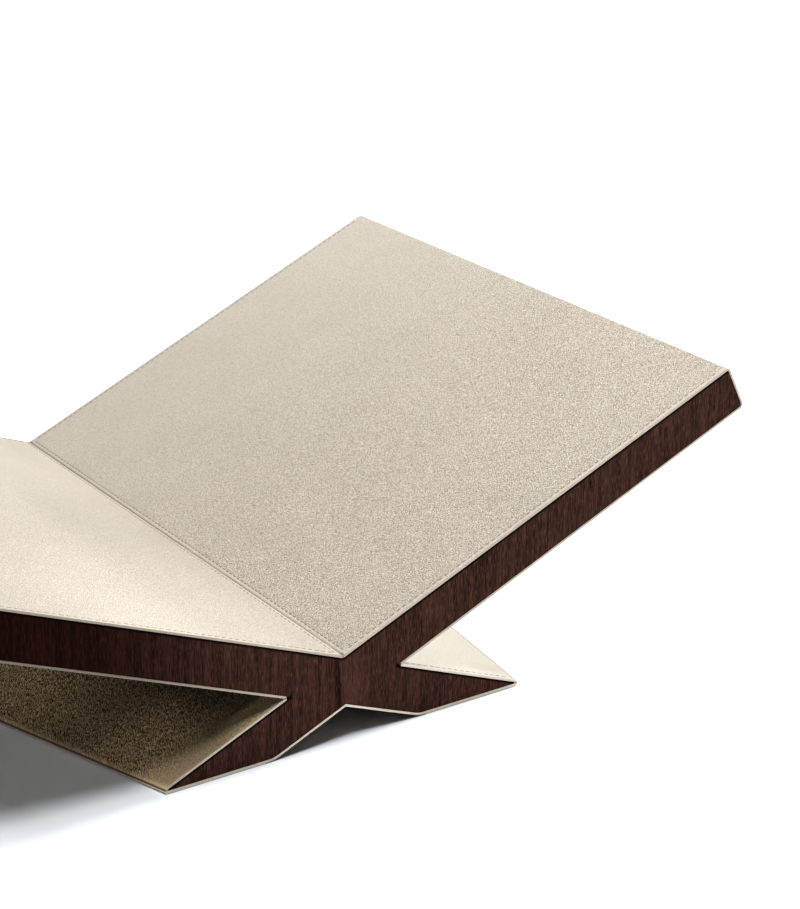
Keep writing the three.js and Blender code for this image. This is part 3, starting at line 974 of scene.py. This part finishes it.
class STAND_OT_stitching(bpy.types.Operator):
    """Sew the rows of stitches along the valley and the end faces"""
    bl_idname = "stand.stitching"
    bl_label = "Stitching"

    def execute(self, context):
        shape = context.scene.stand_shape
        stitches = context.scene.stand_stitches
        depth = stand_depth()
        inverse = section_to_stand().inverted()
        for label, side in SIDES:
            for part, up in (("wing", 1), ("leg", -1)):
                leather = bpy.data.objects[f"{part}_leather_{label}"]
                run, outward = slope_directions(side, up)
                spots = [inverse @ vertex.co for vertex in leather.data.vertices]
                level = max(spot.dot(outward) for spot in spots)
                top = outward * (level - 0.6 * shape.groove_depth)
                flat = [spot for spot in spots if spot.dot(outward) > level - TOUCHING]
                notch = min(spot.dot(run) for spot in flat)
                first, spare = stitches.valley_row_inset, WING_ROW_SPARE
                if part == "leg":
                    first, spare = notch + LEG_ROW_START, LEG_ROW_SPARE
                rows = []
                for point, rim in ((stitches.end_row_inset, 0.0), (depth - stitches.end_row_inset, depth)):
                    last = max(spot.dot(run) for spot in flat if abs(spot.y - rim) < NEAR_END) - spare
                    rows.append((top + run * first + ALONG * point, run, outward, last - first, stitches.pitch_across))
                if part == "wing":
                    rows.append((
                        top + run * stitches.valley_row_inset + ALONG * stitches.end_row_inset, ALONG, outward,
                        depth - 2 * stitches.end_row_inset, stitches.pitch_along))
                stitch_rows(f"{part}_stitches_{label}", rows)
        return {"FINISHED"}


class STAND_OT_wood(bpy.types.Operator):
    """Finish the wood: dark facings at both ends, plain boards and dowels inside"""
    bl_idname = "stand.wood"
    bl_label = "Wood"

    def execute(self, context):
        wood = context.scene.stand_wood
        finish_nodes(FRONT_FACINGS + BACK_FACINGS, facing_wood())
        finish_nodes(CORE_BOARDS, plain_wood("core_board_wood", wood.core_color, 2.0 * MM))
        finish_nodes(DOWELS, plain_wood("dowel_beech", wood.dowel_color, 0.8 * MM))
        return {"FINISHED"}


class STAND_OT_stage(bpy.types.Operator):
    """Set the floor, the soft lights and the camera"""
    bl_idname = "stand.stage"
    bl_label = "Stage"

    def execute(self, context):
        stage = context.scene.stand_stage
        mesh = bmesh.new()
        bmesh.ops.create_grid(mesh, x_segments=1, y_segments=1, size=stage.floor_size / 2)
        material, floor_tree, shader = new_material("pale_floor")
        feed(floor_tree, shader, {"Base Color": solid(stage.floor_color), "Roughness": 0.9, "Specular IOR Level": 0.0})
        floor = new_object(mesh, "floor", [material])

        world = bpy.data.worlds.new("pale_room")
        world.use_nodes = True
        tree = world.node_tree
        seen = add_node(tree, "ShaderNodeLightPath").outputs["Is Camera Ray"]
        strength = ramp(tree, seen, 0.0, 1.0, stage.room_strength, 1.0)
        feed(tree, tree.nodes["Background"], {"Color": (1, 1, 1, 1), "Strength": strength})
        context.scene.world = world

        stand_middle = Vector((0, 0, 60 * MM))
        lights = (  # name, bearing and height in degrees, distance, size, power
            ("side_light", 0, 15, 3.0, 0.7, stage.side_power),
            ("back_light", 67.5, 40, 3.0, 1.2, stage.back_power),
            ("top_light", 180, 65, 3.0, 1.2, stage.top_power),
            ("front_light", 240, 65, 3.0, 0.8, stage.front_power),
            ("near_light", 0, 50, 1.2, 0.5, stage.near_power),
            ("rake_light", 175, 33, 3.0, 0.4, stage.rake_power),
        )
        for name, bearing, height, away, size, power in lights:
            turn = Euler((0, -math.radians(height), math.radians(bearing)))
            place = turn.to_matrix() @ Vector((away, 0, 0))
            lamp = bpy.data.lights.new(name, "AREA")
            lamp.shape = "SQUARE"
            lamp.size = size
            lamp.energy = power
            light = bpy.data.objects.new(name, lamp)
            light.location = place
            light.rotation_euler = (stand_middle - place).to_track_quat("-Z", "Y").to_euler()
            context.scene.collection.objects.link(light)

        bearing = Matrix.Rotation(stage.camera_azimuth, 4, "Z")
        pitch = Matrix.Rotation(math.radians(90) - stage.camera_elevation, 4, "X")
        roll = Matrix.Rotation(stage.camera_roll, 4, "Z")
        lens = bpy.data.cameras.new("camera")
        lens.lens = stage.lens
        lens.sensor_width = SENSOR_WIDTH
        lens.clip_end = VIEW_REACH
        camera = bpy.data.objects.new("camera", lens)
        camera.matrix_world = Matrix.Translation(stage.camera_place) @ bearing @ pitch @ roll
        context.scene.collection.objects.link(camera)
        context.scene.camera = camera
        context.scene.view_settings.view_transform = "Standard"
        context.scene.view_settings.look = "High Contrast"
        return {"FINISHED"}


class STAND_PT_panel(bpy.types.Panel):
    bl_label = "Book stand"
    bl_idname = "STAND_PT_panel"
    bl_space_type = "VIEW_3D"
    bl_region_type = "UI"
    bl_category = "Book stand"

    def draw(self, context):
        for operator in OPERATORS:
            self.layout.operator(operator.bl_idname)
        for name in PROPERTIES:
            group = getattr(context.scene, name)
            box = self.layout.box()
            for prop in group.bl_rna.properties:
                if prop.identifier not in {"name", "rna_type"}:
                    box.prop(group, prop.identifier)


PROPERTIES = {
    "stand_shape": StandShape,
    "stand_stitches": StandStitches,
    "stand_leather": StandLeather,
    "stand_wood": StandWood,
    "stand_stage": StandStage,
}
OPERATORS = (
    STAND_OT_stage, STAND_OT_wood, STAND_OT_wing_leather, STAND_OT_leg_leather,
    STAND_OT_belly_leather, STAND_OT_soles, STAND_OT_stitching,
)


def register():
    for name, group in PROPERTIES.items():
        bpy.utils.register_class(group)
        setattr(bpy.types.Scene, name, PointerProperty(type=group))
    for operator in OPERATORS:
        bpy.utils.register_class(operator)
    bpy.utils.register_class(STAND_PT_panel)


def unregister():
    bpy.utils.unregister_class(STAND_PT_panel)
    for operator in reversed(OPERATORS):
        bpy.utils.unregister_class(operator)
    for name, group in PROPERTIES.items():
        delattr(bpy.types.Scene, name)
        bpy.utils.unregister_class(group)


def main():
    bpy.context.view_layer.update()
    register()
    make_place_group()
    make_grain_group()
    make_streak_group()
    make_margin_group()
    for operator in OPERATORS:
        group, name = operator.bl_idname.split(".")
        getattr(getattr(bpy.ops, group), name)()


if __name__ == "__main__":
    main()
